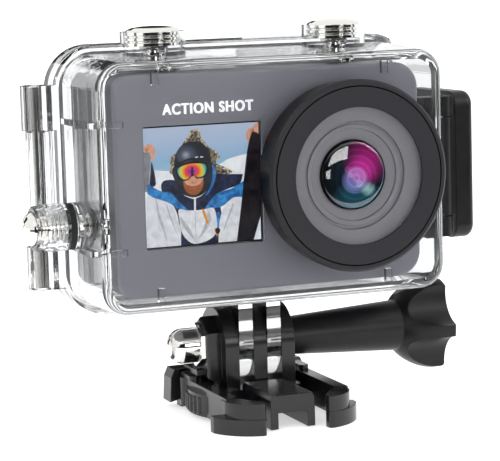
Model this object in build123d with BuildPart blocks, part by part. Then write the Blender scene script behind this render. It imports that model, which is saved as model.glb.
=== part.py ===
"""Dual-screen action camera in a clear waterproof housing, clamped in a quick-release buckle.

Frame: +X towards the thumb screw's knob, +Y to the back, +Z up, millimetres.
The origin is on the buckle's underside, straight below the clamp screw.
"""

import os
from math import cos, radians, sin

from build123d import *

os.makedirs("parts", exist_ok=True)

# --- driving dimensions -------------------------------------------------------------------

# three-prong clamp shared by action-camera mounts
PIVOT_Z = 14.0
PRONG_R = 7.5
PRONG_THICK = 2.9
PRONG_PITCH = 6.1
FINGER_THICK = 3.0
SCREW_R = 2.5
SCREW_HOLE_R = 2.58
CLAMP_HALF = PRONG_PITCH + PRONG_THICK / 2
NUT_BOSS_W = 9.9
NUT_HALF_FLATS = 4.0
FINGER_TOP = 24.6
NUT_BOSS_LENGTH = 3.0
NUT_HEX_LENGTH = 3.4
NUT_DOME_R = 3.6
NUT_DOME_X = -14.8
NUT_TIP_X = -17.6

# camera
CAM_W = 64.0
CAM_H = 43.4
CAM_Z = 48.9
CAM_FRONT = -16.0
CAM_BACK = 8.3
CAM_WALL = 1.6
PANEL_THICK = 2.4
REAR_THICK = 2.8
SCREEN_W = 24.4
SCREEN_H = 23.8
SCREEN_X = -14.4
SCREEN_Z = CAM_Z - 0.3
LENS_X = 14.5
LENS_Z = CAM_Z + 0.4
REAR_SCREEN_W = 50.0
REAR_SCREEN_H = 34.0
BATTERY_X = -13.0
BATTERY_DOOR_Y = -7.0
CONNECTOR_Y = -5.0
CONNECTOR_Z = CAM_Z - 2.0
CARD_X = -18.0

# waterproof housing
WALL = 2.0
SHELL_W = 72.4
SHELL_H = 48.4
SHELL_R = 5.0
SHELL_FRONT = CAM_FRONT - 3.5
SHELL_BACK = 3.5
SHELL_SPREAD = 2.4
FLANGE_W = 77.0
FLANGE_H = 54.0
FLANGE_R = 9.0
FLANGE_THICK = 3.0
DOOR_GAP = 0.2
DOOR_FRONT = SHELL_BACK + DOOR_GAP
DOOR_BACK = 11.5
PORT_R = 18.4
RING_R = 18.9
PORT_VIEW_R = 13.5
PORT_SLEEVE_R = 16.1
WINDOW_GROOVE_IN = 14.4
WINDOW_GROOVE_OUT = 15.6
LINE_HEIGHTS = (-12.2, 12.4)
# ears, webs and the ledge grow from inside the flange, this far from the middle
ROOT_X = 37.5
RING_FRONT = -26.5

# hinge on the left, latch on the right
HINGE_X = -42.0
HINGE_Y = SHELL_BACK
EAR_R = 3.0
BARREL_R = 2.3
HINGE_PIN_R = 1.0
EAR_SPANS = [(-21.1, -12.6), (10.6, 19.5)]
BARREL_SPAN = (-12.3, 10.3)
LATCH_X = 41.4
LATCH_Y = -7.5
LATCH_Z = CAM_Z - 0.8
LATCH_HALF = 15.4
LATCH_PIN_R = 1.1
LATCH_KNUCKLE_R = 2.4
LEVER_INNER = 44.3
LEVER_OUTER = 48.7
LEDGE_X = 40.5

# push buttons
BUTTON_X = 19.5
BUTTON_Y = -3.6
SIDE_BUTTON_Y = -4.4
SIDE_BUTTON_Z = CAM_Z - 8.0
COLLAR_R = 6.5
COLLAR_BORE_R = 5.65
COLLAR_TOP = CAM_Z + 29.5
COLLAR_FLOOR = CAM_Z + 25.5
BOSS_R = 4.7
BOSS_ROOT = -36.2
BOSS_END = -38.0
BUSHING_BORE_R = 3.35
STEM_R = 1.5
KEY_R = 2.8
KEY_RISE = 0.3
TRAVEL = 0.8
STEM_GAP = 0.08
PIN_GAP = 0.07

# buckle
BASE_TOP = 5.6
BASE_HALF = 8.4
TONGUE_HALF = 4.7
TONGUE_FRONT = -24.0
TONGUE_TOP = 6.9
ARM_HINGE_X = 11.3
ARM_HINGE_Y = 3.6
ARM_TIP_Y = -27.5
ARM_TOP = 6.8
BARB_X = 15.3
BARB_Y = -18.5
ROOT_PAD_TOP = 7.7
GRIP_Y = -4.5
GRIP_HALF = 6.0
GRIP_BULGE = 1.3
ARM_OUTER_X = 13.0
ARM_BOTTOM = 0.9
GRIP_HEIGHT = 4.6
NUT_SHELF_X = -12.3


# --- helpers -------------------------------------------------------------------------------

def facing_front(y, x=0.0, z=CAM_Z):
    """Plane at depth y that looks out of the camera's front, with X across and Z up."""
    return Plane(origin=(x, y, z), x_dir=(1, 0, 0), z_dir=(0, -1, 0))


def facing_left(x, y=0.0, z=0.0):
    """Plane at x that looks towards -X, with -Y across and Z up."""
    return Plane(origin=(x, y, z), x_dir=(0, -1, 0), z_dir=(-1, 0, 0))


def facing_right(x, y=0.0, z=0.0):
    """Plane at x that looks towards +X, with Y across and Z up."""
    return Plane(origin=(x, y, z), x_dir=(0, 1, 0), z_dir=(1, 0, 0))


def rounded_section(y, width, height, radius):
    """Rounded rectangle round the camera's centre line, at depth y."""
    with BuildSketch(facing_front(y)) as section:
        RectangleRounded(width, height, radius)
    return section.sketch


def shell_section(y, inset):
    """The drafted shell's outline at depth y, moved in by inset."""
    spread = SHELL_SPREAD * (y - SHELL_FRONT) / (SHELL_BACK - SHELL_FRONT)
    radius = SHELL_R - inset * 0.9 + spread / 2
    return rounded_section(y, SHELL_W + spread - 2 * inset, SHELL_H + spread - 2 * inset, radius)


def cap_middle(edge, apex):
    """Point on the spherical cap from an edge (radius, depth) to its apex on the axis."""
    sag = apex[1] - edge[1]
    ball = (edge[0] ** 2 + sag**2) / (2 * abs(sag))
    radius = edge[0] * 0.55
    drop = ball - (ball**2 - radius**2) ** 0.5
    return radius, apex[1] - drop * (1 if sag > 0 else -1)


def save(name, label):
    """Label a finished piece and write its STEP file."""
    name.part.label = label
    export_step(name.part, f"parts/{label}.step")


# --- buckle --------------------------------------------------------------------------------

with BuildPart() as buckle_body:
    # base plate under the prongs and the cross member behind it
    with BuildSketch(Plane.XY):
        with Locations((0, -0.5)):
            RectangleRounded(2 * BASE_HALF, 17, 1)
        with Locations((0, 7.6)):
            RectangleRounded(25.6, 4.4, 1.2)
    extrude(amount=BASE_TOP)
    # tongue that runs forward, carried on two legs
    with BuildSketch(facing_front(TONGUE_FRONT, z=0)):
        with BuildLine():
            Polyline(
                (-TONGUE_HALF, 0.2),
                (-TONGUE_HALF, TONGUE_TOP - 0.9),
                (-TONGUE_HALF + 0.5, TONGUE_TOP),
                (TONGUE_HALF - 0.5, TONGUE_TOP),
                (TONGUE_HALF, TONGUE_TOP - 0.9),
                (TONGUE_HALF, 0.2),
                (TONGUE_HALF - 1.6, 0.2),
                (TONGUE_HALF - 1.6, 3.4),
                (-TONGUE_HALF + 1.6, 3.4),
                (-TONGUE_HALF + 1.6, 0.2),
                close=True,
            )
        make_face()
    extrude(amount=TONGUE_FRONT + 8.6)
    # three prongs
    for side in (-1, 0, 1):
        with BuildSketch(facing_right(side * PRONG_PITCH - PRONG_THICK / 2)):
            with Locations((0, PIVOT_Z)):
                Circle(PRONG_R)
            with Locations((0, (PIVOT_Z + BASE_TOP - 1) / 2)):
                Rectangle(2 * PRONG_R, PIVOT_Z - BASE_TOP + 1)
        extrude(amount=PRONG_THICK)
    # boss that holds the nut, on a straight web down to the base
    with BuildSketch(facing_left(-CLAMP_HALF)):
        with Locations((0, PIVOT_Z)):
            RegularPolygon(5.7, 6, rotation=30)
        with Locations((0, (PIVOT_Z + ARM_TOP + 0.5) / 2)):
            Rectangle(NUT_BOSS_W, PIVOT_Z - ARM_TOP - 0.5)
    extrude(amount=NUT_BOSS_LENGTH)
    boss_face_x = -CLAMP_HALF - NUT_BOSS_LENGTH
    fillet(edges().filter_by_position(Axis.X, boss_face_x - 0.01, boss_face_x + 0.01), 0.7)
    # shelf under the nut
    with Locations(((NUT_SHELF_X - CLAMP_HALF) / 2, 1.0, 8.65)):
        Box(-CLAMP_HALF - NUT_SHELF_X, 8.0, 1.1)
    with BuildSketch(facing_left(-CLAMP_HALF)):
        with Locations((0, PIVOT_Z / 2)):
            Rectangle(NUT_BOSS_W, PIVOT_Z)
    extrude(amount=1.9)
    # rear fins that stop the buckle against its base mount
    for side in (-1, 1):
        with BuildSketch(facing_front(10.4, z=0)):
            with BuildLine():
                Polyline(
                    (side * 12.0, 2.0),
                    (side * 15.2, 1.2),
                    (side * 14.9, 6.2),
                    (side * 14.1, 8.0),
                    (side * 9.0, 8.0),
                    (side * 9.0, BASE_TOP - 1),
                    (side * 12.0, BASE_TOP - 1),
                    close=True,
                )
            make_face()
        extrude(amount=4.6)
    # sockets round the roots of the spring arms
    for side in (-1, 1):
        with Locations((side * ARM_HINGE_X, ARM_HINGE_Y, BASE_TOP / 2)):
            Cylinder(2.7, BASE_TOP + 6, mode=Mode.SUBTRACT)
    # clamp screw's hole and the nut's hexagonal pocket
    with Locations(Location((0, 0, PIVOT_Z), (0, 90, 0))):
        Cylinder(SCREW_HOLE_R, 40, mode=Mode.SUBTRACT)
    with BuildSketch(facing_left(-CLAMP_HALF - 0.5)):
        with Locations((0, PIVOT_Z)):
            RegularPolygon(NUT_HALF_FLATS + 0.08, 6, major_radius=False, rotation=30)
    extrude(amount=3.0, mode=Mode.SUBTRACT)
save(buckle_body, "buckle_body")


def spring_arm(side):
    """One spring arm: root with its pad, beam, post, barbed foot and ribbed grip."""
    with BuildPart() as arm:
        # beam and root
        with BuildSketch(Plane.XY.offset(ARM_BOTTOM)):
            with BuildLine():
                Polyline(
                    (side * 10.4, ARM_HINGE_Y),
                    (side * 10.4, -20.0),
                    (side * 13.0, -21.5),
                    (side * 13.1, ARM_HINGE_Y),
                    close=True,
                )
            make_face()
            with Locations((side * ARM_HINGE_X, ARM_HINGE_Y)):
                Circle(2.4)
        extrude(amount=ARM_TOP - ARM_BOTTOM)
        # raised pad over the root
        with BuildSketch(Plane.XY.offset(ARM_TOP)):
            with Locations((side * 12.2, 1.8)):
                RectangleRounded(2.0, 6.6, 0.8)
        extrude(amount=ROOT_PAD_TOP - ARM_TOP)
        # grip that bulges outwards
        with BuildSketch(Plane.XY.offset(ARM_BOTTOM)):
            with BuildLine():
                bulge = ThreePointArc(
                    (side * ARM_OUTER_X, GRIP_Y + GRIP_HALF),
                    (side * (ARM_OUTER_X + GRIP_BULGE), GRIP_Y),
                    (side * ARM_OUTER_X, GRIP_Y - GRIP_HALF),
                )
                Line(bulge @ 1, bulge @ 0)
            make_face()
        extrude(amount=GRIP_HEIGHT)
        # post at the front end
        with BuildSketch(Plane.XY):
            with BuildLine():
                tip = Line((side * 10.0, -20.0), (side * 6.5, -25.2))
                nose = Line(tip @ 1, (side * 6.6, ARM_TIP_Y + 0.5))
                bow = ThreePointArc(nose @ 1, (side * 10.6, -25.6), (side * 13.2, -21.2))
                back = Line(bow @ 1, (side * 13.2, -19.0))
                Line(back @ 1, tip @ 0)
            make_face()
            fillet(vertices().sort_by(Axis.Y)[0:2], 0.9)
        extrude(amount=ARM_TOP - 0.5)
        # barbed foot with its flat lock face at the rear
        with BuildSketch(Plane.XY):
            with BuildLine():
                inner = Line((side * 10.0, BARB_Y), (side * 6.5, -25.2))
                front = Line(inner @ 1, (side * 6.6, ARM_TIP_Y + 0.2))
                wedge = ThreePointArc(front @ 1, (side * 12.4, -24.6), (side * BARB_X, -20.2))
                lock = Line(wedge @ 1, (side * BARB_X, BARB_Y))
                Line(lock @ 1, inner @ 0)
            make_face()
            fillet(vertices().sort_by(Axis.Y)[0:2], 0.9)
        extrude(amount=3.2)
        # grip ribs on the bulge
        for step in range(-2, 3):
            rib_y = 1.8 * step
            rib_x = ARM_OUTER_X - 0.25 + GRIP_BULGE * (1 - (rib_y / GRIP_HALF) ** 2)
            with Locations((side * rib_x, GRIP_Y + rib_y, 3.0)):
                Cylinder(0.6, 3.4)
    return arm


for side, label in ((-1, "buckle_arm_left"), (1, "buckle_arm_right")):
    buckle_arm = spring_arm(side)
    save(buckle_arm, label)

with BuildPart() as acorn_nut:
    with BuildSketch(facing_left(-CLAMP_HALF - 0.55)):
        with Locations((0, PIVOT_Z)):
            RegularPolygon(NUT_HALF_FLATS, 6, major_radius=False, rotation=30)
    extrude(amount=NUT_HEX_LENGTH)
    with BuildSketch(Plane.XZ):
        with BuildLine():
            waist = Line((-11.0, PIVOT_Z), (-11.0, PIVOT_Z + NUT_DOME_R))
            barrel = Line(waist @ 1, (NUT_DOME_X, PIVOT_Z + NUT_DOME_R))
            middle_r, middle_x = cap_middle((NUT_DOME_R, NUT_DOME_X), (0, NUT_TIP_X))
            dome = ThreePointArc(barrel @ 1, (middle_x, PIVOT_Z + middle_r), (NUT_TIP_X, PIVOT_Z))
            Line(dome @ 1, waist @ 0)
        make_face()
    revolve(axis=Axis((0, 0, PIVOT_Z), (1, 0, 0)))
    with Locations(Location((-CLAMP_HALF - 5, 0, PIVOT_Z), (0, 90, 0))):
        Cylinder(SCREW_HOLE_R, 9, mode=Mode.SUBTRACT)
save(acorn_nut, "acorn_nut")

# --- thumb screw ---------------------------------------------------------------------------

HANDLE_START = CLAMP_HALF + 0.3
SHOULDER_X = 33.4
KNOB_END = 43.6
KNOB_R = 9.8
BOLT_START = -16.0
BOLT_END = 22.0
LOBES = 5
FIRST_LOBE_DEG = 68
SCALLOP_R = 6.4
SCALLOP_AT = 12.9

with BuildPart() as thumb_screw_bolt:
    with Locations(Location(((BOLT_END + BOLT_START) / 2, 0, PIVOT_Z), (0, 90, 0))):
        Cylinder(SCREW_R, BOLT_END - BOLT_START)
    chamfer(edges().group_by(Axis.X)[0], 0.6)
save(thumb_screw_bolt, "thumb_screw_bolt")

with BuildPart() as thumb_screw_handle:
    with BuildSketch(Plane.XZ):
        with BuildLine():
            foot = Line((HANDLE_START, PIVOT_Z), (HANDLE_START, PIVOT_Z + 3.9))
            shaft = Line(foot @ 1, (SHOULDER_X, PIVOT_Z + 5.35))
            flare = ThreePointArc(shaft @ 1, (36.6, PIVOT_Z + 8.2), (41.4, PIVOT_Z + KNOB_R))
            rim = Line(flare @ 1, (43.0, PIVOT_Z + KNOB_R))
            rim_corner = (KNOB_END - 0.18, PIVOT_Z + KNOB_R - 0.18)
            crown = ThreePointArc(rim @ 1, rim_corner, (KNOB_END, PIVOT_Z + KNOB_R - 0.6))
            face = Line(crown @ 1, (KNOB_END, PIVOT_Z))
            Line(face @ 1, foot @ 0)
        make_face()
    revolve(axis=Axis((0, 0, PIVOT_Z), (1, 0, 0)))
    # scallops between the knob's lobes
    for lobe in range(LOBES):
        angle = radians(FIRST_LOBE_DEG + 36 + lobe * 360 / LOBES)
        scallop_y = -SCALLOP_AT * cos(angle)
        scallop_z = PIVOT_Z + SCALLOP_AT * sin(angle)
        with Locations(Location((SHOULDER_X + 9, scallop_y, scallop_z), (0, 90, 0))):
            Cylinder(SCALLOP_R, 18, mode=Mode.SUBTRACT)
    with Locations(Location(((BOLT_END + HANDLE_START) / 2, 0, PIVOT_Z), (0, 90, 0))):
        Cylinder(SCREW_R, BOLT_END - HANDLE_START, mode=Mode.SUBTRACT)
save(thumb_screw_handle, "thumb_screw_handle")

# --- housing front shell -------------------------------------------------------------------

with BuildPart() as housing_front_shell:
    loft([shell_section(SHELL_FRONT, 0), shell_section(SHELL_BACK, 0)])
    fillet(faces().sort_by(Axis.Y)[0].edges(), 1.5)
    with BuildSketch(facing_front(SHELL_BACK)):
        RectangleRounded(FLANGE_W, FLANGE_H, FLANGE_R)
    extrude(amount=FLANGE_THICK)
    # the two mount fingers
    for side in (-1, 1):
        with BuildSketch(facing_right(side * PRONG_PITCH / 2 - FINGER_THICK / 2)):
            with Locations((0, PIVOT_Z)):
                Circle(PRONG_R)
            with Locations(((SHELL_BACK - PRONG_R) / 2, (PIVOT_Z + FINGER_TOP) / 2)):
                Rectangle(SHELL_BACK + PRONG_R, FINGER_TOP - PIVOT_Z)
        extrude(amount=FINGER_THICK)
    # collars round the top buttons and the boss of the side button
    for side in (-1, 1):
        with BuildSketch(Plane.XY.offset(CAM_Z + 24.0)):
            with Locations((side * BUTTON_X, BUTTON_Y)):
                Circle(COLLAR_R)
        extrude(amount=COLLAR_TOP - CAM_Z - 24.0)
    with BuildSketch(facing_left(BOSS_ROOT, SIDE_BUTTON_Y, SIDE_BUTTON_Z)):
        Circle(BOSS_R)
    extrude(amount=BOSS_ROOT - BOSS_END)
    # raised lines that stiffen the left wall
    for height in LINE_HEIGHTS:
        with Locations((-37.0, (SHELL_FRONT + SHELL_BACK) / 2 + 0.6, CAM_Z + height)):
            Box(1.6, SHELL_BACK - SHELL_FRONT - 3.4, 1.1)
    # hinge ears
    for low, high in EAR_SPANS:
        with BuildSketch(Plane.XY.offset(CAM_Z + low)):
            with Locations((HINGE_X, HINGE_Y)):
                Circle(EAR_R)
            with Locations(((HINGE_X - ROOT_X) / 2, SHELL_BACK - FLANGE_THICK / 2)):
                Rectangle(-ROOT_X - HINGE_X, FLANGE_THICK)
        extrude(amount=high - low)
    # hollow inside
    loft([shell_section(SHELL_FRONT + WALL, WALL), shell_section(SHELL_BACK, WALL)], mode=Mode.SUBTRACT)
    # lens opening
    with BuildSketch(facing_front(SHELL_FRONT + WALL, LENS_X, LENS_Z)):
        Circle(PORT_SLEEVE_R + 0.1)
    extrude(amount=WALL, mode=Mode.SUBTRACT)
    # small ribs behind the front wall that locate the camera
    for x in (-24.2, 24.2):
        for z in (-20.6, 20.6):
            with Locations((x, SHELL_FRONT + WALL + 0.5, CAM_Z + z * 1.02)):
                Box(1.3, 1.4, 2.6)
    for height in LINE_HEIGHTS:
        with Locations((-32.6, SHELL_FRONT + WALL + 0.5, CAM_Z + height)):
            Box(3.4, 1.4, 1.2)
    # button bores
    for side in (-1, 1):
        with Locations((side * BUTTON_X, BUTTON_Y, COLLAR_FLOOR + 4)):
            Cylinder(COLLAR_BORE_R, 8, mode=Mode.SUBTRACT)
        with Locations((side * BUTTON_X, BUTTON_Y, COLLAR_FLOOR)):
            Cylinder(STEM_R + STEM_GAP, 12, mode=Mode.SUBTRACT)
    with Locations(Location((BOSS_END, SIDE_BUTTON_Y, SIDE_BUTTON_Z), (0, 90, 0))):
        Cylinder(BUSHING_BORE_R, 1.5, mode=Mode.SUBTRACT)
        Cylinder(STEM_R + STEM_GAP, 12, mode=Mode.SUBTRACT)
    # clamp screw's hole through the fingers, hinge pin's hole through the ears
    with Locations(Location((0, 0, PIVOT_Z), (0, 90, 0))):
        Cylinder(SCREW_HOLE_R, 12, mode=Mode.SUBTRACT)
    with Locations((HINGE_X, HINGE_Y, CAM_Z)):
        Cylinder(HINGE_PIN_R, 50, mode=Mode.SUBTRACT)
save(housing_front_shell, "housing_front_shell")

# --- lens port -----------------------------------------------------------------------------

LENS_AXIS = Axis((LENS_X, 0, LENS_Z), (0, -1, 0))


def lens_profile(*points):
    """Closed (radius, depth) outline in the plane through the lens axis, for a revolve."""
    with BuildSketch(Plane(origin=(LENS_X, 0, LENS_Z), x_dir=(1, 0, 0), z_dir=(0, 0, 1))) as profile:
        with BuildLine():
            Polyline(*points, close=True)
        make_face()
    return profile.sketch


WINDOW_BACK = -24.6
WINDOW_FRONT = -26.1

with BuildPart() as lens_port_body:
    outline = lens_profile(
        (WINDOW_GROOVE_IN, SHELL_FRONT + WALL),
        (PORT_SLEEVE_R, SHELL_FRONT + WALL),
        (PORT_SLEEVE_R, SHELL_FRONT),
        (PORT_R, SHELL_FRONT),
        (PORT_R, WINDOW_BACK),
        (WINDOW_GROOVE_IN, WINDOW_BACK),
    )
    revolve(outline, LENS_AXIS)
save(lens_port_body, "lens_port_body")

with BuildPart() as lens_port_ring:
    outline = lens_profile(
        (15.7, WINDOW_BACK),
        (RING_R, WINDOW_BACK),
        (RING_R, RING_FRONT + 0.5),
        (RING_R - 0.5, RING_FRONT),
        (17.75, RING_FRONT),
        (17.6, RING_FRONT + 0.35),
        (17.45, RING_FRONT),
        (PORT_VIEW_R + 0.15, RING_FRONT),
        (PORT_VIEW_R, RING_FRONT + 0.15),
        (PORT_VIEW_R, WINDOW_FRONT),
        (15.7, WINDOW_FRONT),
    )
    revolve(outline, LENS_AXIS)
save(lens_port_ring, "lens_port_ring")

with BuildPart() as lens_port_window:
    outline = lens_profile(
        (0, WINDOW_BACK - 0.02),
        (14.3, WINDOW_BACK - 0.02),
        (14.3, WINDOW_BACK - 0.6),
        (WINDOW_GROOVE_OUT, WINDOW_BACK - 0.6),
        (WINDOW_GROOVE_OUT, WINDOW_FRONT + 0.02),
        (0, WINDOW_FRONT + 0.02),
    )
    revolve(outline, LENS_AXIS)
save(lens_port_window, "lens_port_window")

with BuildPart() as lens_port_seal:
    outline = lens_profile(
        (WINDOW_GROOVE_IN, WINDOW_BACK - 0.01),
        (WINDOW_GROOVE_OUT, WINDOW_BACK - 0.01),
        (WINDOW_GROOVE_OUT, WINDOW_BACK - 0.59),
        (WINDOW_GROOVE_IN, WINDOW_BACK - 0.59),
    )
    revolve(outline, LENS_AXIS)
save(lens_port_seal, "lens_port_seal")

# --- back door -----------------------------------------------------------------------------

SEAL_W = 1.5
SEAL_DEPTH = 1.0
GROOVE_W = 74.6
GROOVE_H = 51.6
GROOVE_R = 7.6
DOOR_HOLLOW_BACK = 9.3

with BuildPart() as housing_back_door:
    with BuildSketch(facing_front(DOOR_BACK)):
        RectangleRounded(FLANGE_W, FLANGE_H, FLANGE_R)
    extrude(amount=DOOR_BACK - DOOR_FRONT)
    fillet(faces().sort_by(Axis.Y)[-1].edges(), 2.0)
    # raised frame on the back, round the rear screen's view
    with BuildSketch(facing_front(DOOR_BACK + 0.6)):
        RectangleRounded(60, 41, 4)
        RectangleRounded(54, 37, 2.5, mode=Mode.SUBTRACT)
    extrude(amount=0.8)
    # ledge that the latch holds
    with Locations(((LEDGE_X + ROOT_X) / 2, (DOOR_BACK + 6.5) / 2, LATCH_Z)):
        Box(LEDGE_X - ROOT_X, DOOR_BACK - 6.5, 20)
    # hinge barrel and its web
    low, high = BARREL_SPAN
    with BuildSketch(Plane.XY.offset(CAM_Z + low)):
        with Locations((HINGE_X, HINGE_Y)):
            Circle(BARREL_R)
        with Locations(((HINGE_X - ROOT_X) / 2, DOOR_FRONT + 1.3)):
            Rectangle(-ROOT_X - HINGE_X, 2.2)
    extrude(amount=high - low)
    # hollow that takes the back of the camera
    with BuildSketch(facing_front(DOOR_HOLLOW_BACK)):
        RectangleRounded(70.4, 47.4, 5)
    extrude(amount=DOOR_HOLLOW_BACK - DOOR_FRONT, mode=Mode.SUBTRACT)
    # groove for the seal
    with BuildSketch(facing_front(DOOR_FRONT + SEAL_DEPTH)):
        RectangleRounded(GROOVE_W, GROOVE_H, GROOVE_R)
        RectangleRounded(GROOVE_W - 2 * SEAL_W, GROOVE_H - 2 * SEAL_W, GROOVE_R - SEAL_W, mode=Mode.SUBTRACT)
    extrude(amount=SEAL_DEPTH, mode=Mode.SUBTRACT)
    with Locations((HINGE_X, HINGE_Y, CAM_Z)):
        Cylinder(HINGE_PIN_R + PIN_GAP, 50, mode=Mode.SUBTRACT)
save(housing_back_door, "housing_back_door")

with BuildPart() as door_seal:
    with BuildSketch(facing_front(DOOR_FRONT + SEAL_DEPTH)):
        RectangleRounded(GROOVE_W - 0.1, GROOVE_H - 0.1, GROOVE_R - 0.05)
        inner_w = GROOVE_W + 0.1 - 2 * SEAL_W
        inner_h = GROOVE_H + 0.1 - 2 * SEAL_W
        RectangleRounded(inner_w, inner_h, GROOVE_R + 0.05 - SEAL_W, mode=Mode.SUBTRACT)
    extrude(amount=SEAL_DEPTH + DOOR_GAP - 0.05)
save(door_seal, "door_seal")

with BuildPart() as hinge_pin:
    with BuildSketch(Plane.XY.offset(CAM_Z + EAR_SPANS[0][0] + 0.3)):
        with Locations((HINGE_X, HINGE_Y)):
            Circle(HINGE_PIN_R)
    extrude(amount=EAR_SPANS[1][1] - EAR_SPANS[0][0] - 0.6)
save(hinge_pin, "hinge_pin")

# --- latch ---------------------------------------------------------------------------------

LUG_INNER = 10.5
LUG_OUTER = 14.6

with BuildPart() as latch_bracket:
    with BuildSketch(facing_right(36.0, z=LATCH_Z)):
        with Locations((-4.7, 0)):
            RectangleRounded(10.0, 2 * LUG_OUTER, 1.5)
    extrude(amount=2.7)
    for low in (-LUG_OUTER, LUG_INNER):
        with BuildSketch(Plane.XY.offset(LATCH_Z + low)):
            with Locations((LATCH_X, LATCH_Y)):
                Circle(LATCH_KNUCKLE_R)
            with Locations(((LATCH_X + 38.0) / 2, LATCH_Y)):
                Rectangle(LATCH_X - 38.0, 2 * LATCH_KNUCKLE_R)
        extrude(amount=LUG_OUTER - LUG_INNER)
    # seat on the drafted side wall
    loft([shell_section(SHELL_FRONT, 0), shell_section(SHELL_BACK, 0)], mode=Mode.SUBTRACT)
    with Locations((LATCH_X, LATCH_Y, LATCH_Z)):
        Cylinder(LATCH_PIN_R, 40, mode=Mode.SUBTRACT)
save(latch_bracket, "latch_bracket")

with BuildPart() as latch_lever:
    with BuildSketch(facing_right(LEVER_INNER, z=LATCH_Z)):
        with Locations((2.4, 0)):
            RectangleRounded(23.0, 2 * LATCH_HALF, 3.0)
    extrude(amount=LEVER_OUTER - LEVER_INNER)
    fillet(faces().sort_by(Axis.X)[-1].edges(), 1.6)
    # knuckle round the pin
    with BuildSketch(Plane.XY.offset(LATCH_Z - LUG_INNER + 0.3)):
        with Locations((LATCH_X, LATCH_Y)):
            Circle(LATCH_KNUCKLE_R)
        with Locations(((LATCH_X + LEVER_INNER) / 2 + 0.3, LATCH_Y + 0.45)):
            Rectangle(LEVER_INNER - LATCH_X + 0.6, 2 * LATCH_KNUCKLE_R - 0.9)
    extrude(amount=2 * LUG_INNER - 0.6)
    # hook behind the door's ledge
    with BuildSketch(Plane.XY.offset(LATCH_Z - 9)):
        with BuildLine():
            Polyline(
                (LEVER_INNER + 0.5, DOOR_BACK - 3.0),
                (LEVER_INNER - 0.7, DOOR_BACK - 2.0),
                (LEVER_INNER - 0.9, DOOR_BACK + 0.3),
                (LEDGE_X + 0.4, DOOR_BACK + 0.4),
                (LEDGE_X + 0.4, DOOR_BACK + 1.4),
                (LEDGE_X + 1.2, DOOR_BACK + 2.0),
                (LEVER_INNER + 0.5, DOOR_BACK + 2.0),
                close=True,
            )
        make_face()
    extrude(amount=18)
    # finger lip ribs on the outer face
    for step in range(3):
        with Locations((LEVER_OUTER, 7.2 + 1.6 * step, LATCH_Z)):
            Box(0.7, 0.7, 20)
    with Locations((LATCH_X, LATCH_Y, LATCH_Z)):
        Cylinder(LATCH_PIN_R + PIN_GAP, 40, mode=Mode.SUBTRACT)
save(latch_lever, "latch_lever")

with BuildPart() as latch_pin:
    with BuildSketch(Plane.XY.offset(LATCH_Z - LUG_OUTER + 0.3)):
        with Locations((LATCH_X, LATCH_Y)):
            Circle(LATCH_PIN_R)
    extrude(amount=2 * LUG_OUTER - 0.6)
save(latch_pin, "latch_pin")

# --- push buttons and the keys under them --------------------------------------------------

TOP_KEY_FACE = CAM_Z + CAM_H / 2 + KEY_RISE
SIDE_KEY_FACE = -CAM_W / 2 - KEY_RISE


def button_frame(x):
    """Plane on a top key's face, looking up."""
    return Plane(origin=(x, BUTTON_Y, TOP_KEY_FACE), x_dir=(1, 0, 0), z_dir=(0, 0, 1))


SIDE_FRAME = Plane(origin=(SIDE_KEY_FACE, SIDE_BUTTON_Y, SIDE_BUTTON_Z), x_dir=(0, 1, 0), z_dir=(-1, 0, 0))


def turned(frame, points):
    """Solid turned from (radius, height) points about the frame's normal."""
    half_plane = Plane(origin=frame.origin, x_dir=frame.x_dir, z_dir=frame.y_dir * -1)
    with BuildPart() as piece:
        with BuildSketch(half_plane):
            with BuildLine():
                Polyline(*points, close=True)
            make_face()
        revolve(axis=Axis(frame.origin, frame.z_dir))
    return piece


def coil_spring(frame, start, length, radius, wire, turns):
    """Open coil wound about the frame's normal."""
    with BuildPart() as spring:
        with BuildLine():
            foot = frame.origin + frame.z_dir * start
            coil = Helix(length / turns, length, radius, center=foot, direction=frame.z_dir)
        with BuildSketch(Plane(origin=coil @ 0, z_dir=coil % 0)):
            Circle(wire / 2)
        sweep(path=coil)
    return spring


def stem_points(cap):
    """Profile of a button: foot, clip groove, O-ring groove, stem, then the cap's own points."""
    foot = [
        (0, 0.05),
        (STEM_R, 0.05),
        (STEM_R, 0.35),
        (1.1, 0.35),
        (1.1, 0.8),
        (STEM_R, 0.8),
        (STEM_R, 1.9),
        (1.05, 1.9),
        (1.05, 2.7),
        (STEM_R, 2.7),
    ]
    return foot + cap


# a pressed cap still clears its collar's floor
SKIRT = COLLAR_FLOOR - TOP_KEY_FACE + TRAVEL + 0.4
# a groove in a cap's side, as (depth, rise)
CAP_GROOVE = ((0, 0), (0.25, 0.12), (0.25, 0.38), (0, 0.5))
top_cap = [
    (STEM_R, 5.6),
    (5.0, 5.6),
    (5.0, SKIRT),
    (5.45, SKIRT),
    *[(5.45 - depth, height + rise) for height in (5.3, 6.3) for depth, rise in CAP_GROOVE],
    (5.45, 7.4),
    (5.2, 7.8),
    (4.2, 8.2),
    (2.4, 8.45),
    (0, 8.55),
]
side_cap = [
    (STEM_R, 10.4),
    (2.5, 10.4),
    (2.5, 11.0),
    (2.1, 11.3),
    (2.5, 11.6),
    (2.1, 11.9),
    (2.5, 12.2),
    (2.1, 12.5),
    (2.1, 13.1),
    (3.4, 13.3),
    (3.3, 14.0),
    (2.7, 14.8),
    (1.5, 15.4),
    (0, 15.6),
]

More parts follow.
